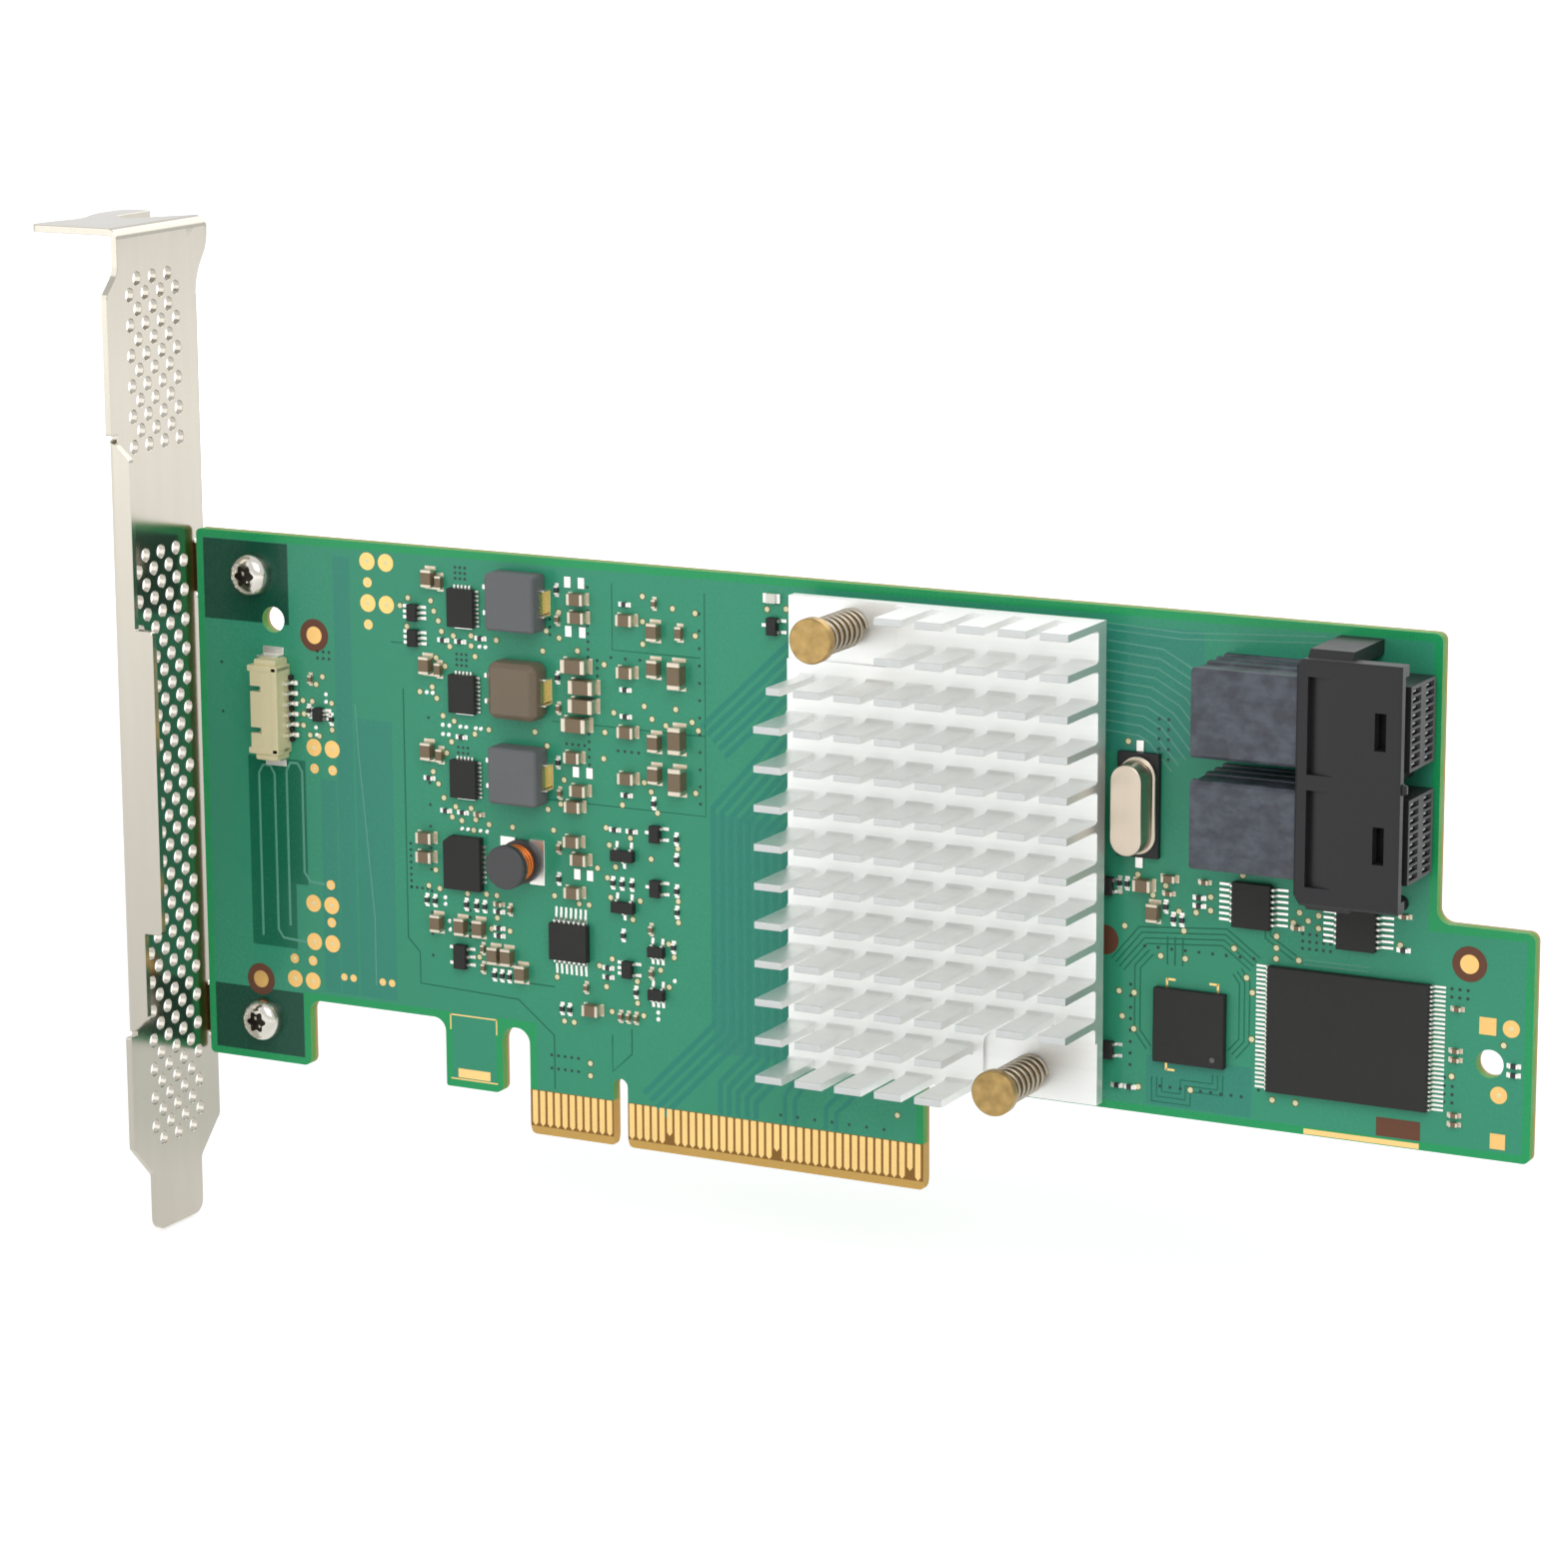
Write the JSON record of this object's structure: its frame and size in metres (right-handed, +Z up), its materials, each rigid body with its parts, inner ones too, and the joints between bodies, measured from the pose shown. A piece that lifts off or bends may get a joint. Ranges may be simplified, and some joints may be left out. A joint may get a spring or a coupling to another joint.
{
  "type": "storage controller card",
  "caption": "Low expansion card with a card-edge tongue, pin-fin heatsink, double cable port and a tall perforated slot bracket.",
  "frame": {"origin": "centre of the key notch at the lower edge of the card-edge tongue, in the plane of the component face", "axes": "+X along the board from the bracket to the free end, +Y from the component face through the board, +Z up from the card edge"},
  "size_m": [0.1814, 0.0224, 0.1209],
  "materials": {
    "board_green": "glossy solder mask",
    "gold_plate": "gold plated, satin",
    "tin": "tinned, satin",
    "bracket_steel": "nickel plated sheet, satin",
    "sink_aluminium": "bright satin",
    "pad_grey": "soft, matte",
    "lid_metal": "nickel plated, satin",
    "pin_brass": "turned, satin",
    "spring_steel": "drawn wire",
    "port_black": "moulded, satin black",
    "module_grey": "moulded, dark grey",
    "chip_black": "moulded epoxy, matte",
    "choke_grey": "pressed powder, matte",
    "choke_brown": "pressed powder, matte",
    "ferrite": "sintered, matte",
    "copper_wire": "enamelled copper",
    "header_cream": "moulded, cream",
    "crystal_metal": "nickel plated, satin",
    "ceramic_tan": "fired ceramic",
    "lamp_lens": "clear, glossy"
  },
  "bodies": {
    "root": {"circuit_board": "board_green", "edge_contacts_front": "gold_plate", "edge_contacts_back": "gold_plate", "bracket": "bracket_steel", "bracket_screws": "bracket_steel", "heatsink": "sink_aluminium", "thermal_pad": "pad_grey", "controller_lid": "lid_metal", "controller_substrate": "board_green", "push_pins": "pin_brass", "push_pin_springs": "spring_steel", "port_shroud": "port_black", "port_modules": "module_grey", "port_contact_blocks": "port_black", "flash_body": "chip_black", "flash_leads": "tin", "buffer_bodies": "chip_black", "buffer_leads": "tin", "small_chip_bodies": "chip_black", "small_chip_leads": "tin", "logic_body": "chip_black", "power_stages": "chip_black", "regulator_body": "chip_black", "power_chokes": "choke_grey", "core_choke": "choke_brown", "choke_terminals": "tin", "drum_core": "ferrite", "drum_winding": "copper_wire", "drum_base": "tin", "header_housing": "header_cream", "header_pins": "tin", "header_tabs": "tin", "crystal_base": "port_black", "crystal_can": "crystal_metal", "crystal_leads": "tin", "ceramic_capacitors": "ceramic_tan", "status_lamp": "lamp_lens", "status_lamp_ends": "tin"}
  },
  "joints": []
}
